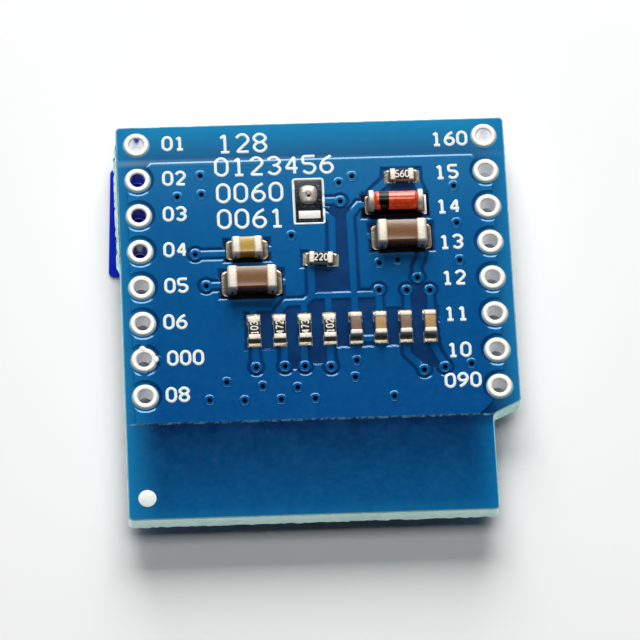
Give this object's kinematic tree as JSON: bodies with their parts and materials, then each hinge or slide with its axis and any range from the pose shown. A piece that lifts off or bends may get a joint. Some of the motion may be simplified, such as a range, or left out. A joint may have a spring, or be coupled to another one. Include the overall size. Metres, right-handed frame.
{
  "type": "small oled display module",
  "caption": "Plug-on display board lying face down: rows of plated header holes, chip parts, a glass diode and a solder jumper on its back, and an OLED panel under a protective film.",
  "frame": {"origin": "middle of the header grid, on the outer face of the protective film that the module lies on", "axes": "+Z out of the component side, away from the display; +Y towards the board's plain end, away from the notch; +X to the right seen from the component side"},
  "size_m": [0.0262, 0.0275, 0.0045],
  "materials": {
    "fibreglass": "routed glass-fibre laminate, pale green-cream",
    "solder_mask": "glossy blue lacquer",
    "copper": "bare copper, mostly under the mask",
    "tinned_rings": "hot-air levelled tin",
    "solder": "reflowed solder",
    "terminal_tin": "matte tin plating",
    "alumina": "fired white ceramic",
    "resistor_coat": "black glass overcoat",
    "cap_brown": "fired brown ceramic",
    "cap_grey_brown": "fired grey-brown ceramic",
    "cap_tan": "fired tan ceramic",
    "cap_ochre": "fired ochre ceramic",
    "diode_glass": "clear glass over orange slugs",
    "diode_slug": "oxidised copper-clad slug",
    "silicon": "polished silicon",
    "band_print": "black print",
    "display_glass": "polished display glass over a dark panel",
    "polarizer": "dark polarizing film",
    "protective_film": "clear peel-off film",
    "pull_tab": "deep blue film",
    "tape": "white foam tape",
    "flex": "amber polyimide"
  },
  "bodies": {
    "root": {"laminate": "fibreglass", "copper_back": "copper", "copper_front": "copper", "solder_mask_back": "solder_mask", "solder_mask_front": "solder_mask", "header_holes_left": "tinned_rings", "header_holes_right": "tinned_rings", "via_barrels": "copper", "jumper_solder": "solder", "resistor_solder": "solder", "capacitor_solder": "solder", "diode_solder": "solder", "diode_glass": "diode_glass", "diode_slugs": "diode_slug", "diode_die": "silicon", "diode_band": "band_print", "diode_end_caps": "terminal_tin", "display_glass": "display_glass", "display_rear_glass": "display_glass", "polarizer": "polarizer", "protective_film": "protective_film", "pull_tab": "pull_tab", "adhesive_tape": "tape", "driver_chip": "silicon", "flex_cable": "flex", "flex_solder": "solder", "resistor_1_body": "alumina", "resistor_1_coat": "resistor_coat", "resistor_1_terminals": "terminal_tin", "resistor_2_body": "alumina", "resistor_2_coat": "resistor_coat", "resistor_2_terminals": "terminal_tin", "resistor_3_body": "alumina", "resistor_3_coat": "resistor_coat", "resistor_3_terminals": "terminal_tin", "resistor_4_body": "alumina", "resistor_4_coat": "resistor_coat", "resistor_4_terminals": "terminal_tin", "resistor_5_body": "alumina", "resistor_5_coat": "resistor_coat", "resistor_5_terminals": "terminal_tin", "resistor_6_body": "alumina", "resistor_6_coat": "resistor_coat", "resistor_6_terminals": "terminal_tin", "capacitor_1_body": "cap_grey_brown", "capacitor_1_terminals": "terminal_tin", "capacitor_2_body": "cap_tan", "capacitor_2_terminals": "terminal_tin", "capacitor_3_body": "cap_grey_brown", "capacitor_3_terminals": "terminal_tin", "capacitor_4_body": "cap_tan", "capacitor_4_terminals": "terminal_tin", "capacitor_5_body": "cap_ochre", "capacitor_5_terminals": "terminal_tin", "capacitor_6_body": "cap_brown", "capacitor_6_terminals": "terminal_tin", "capacitor_7_body": "cap_brown", "capacitor_7_terminals": "terminal_tin"}
  },
  "joints": []
}
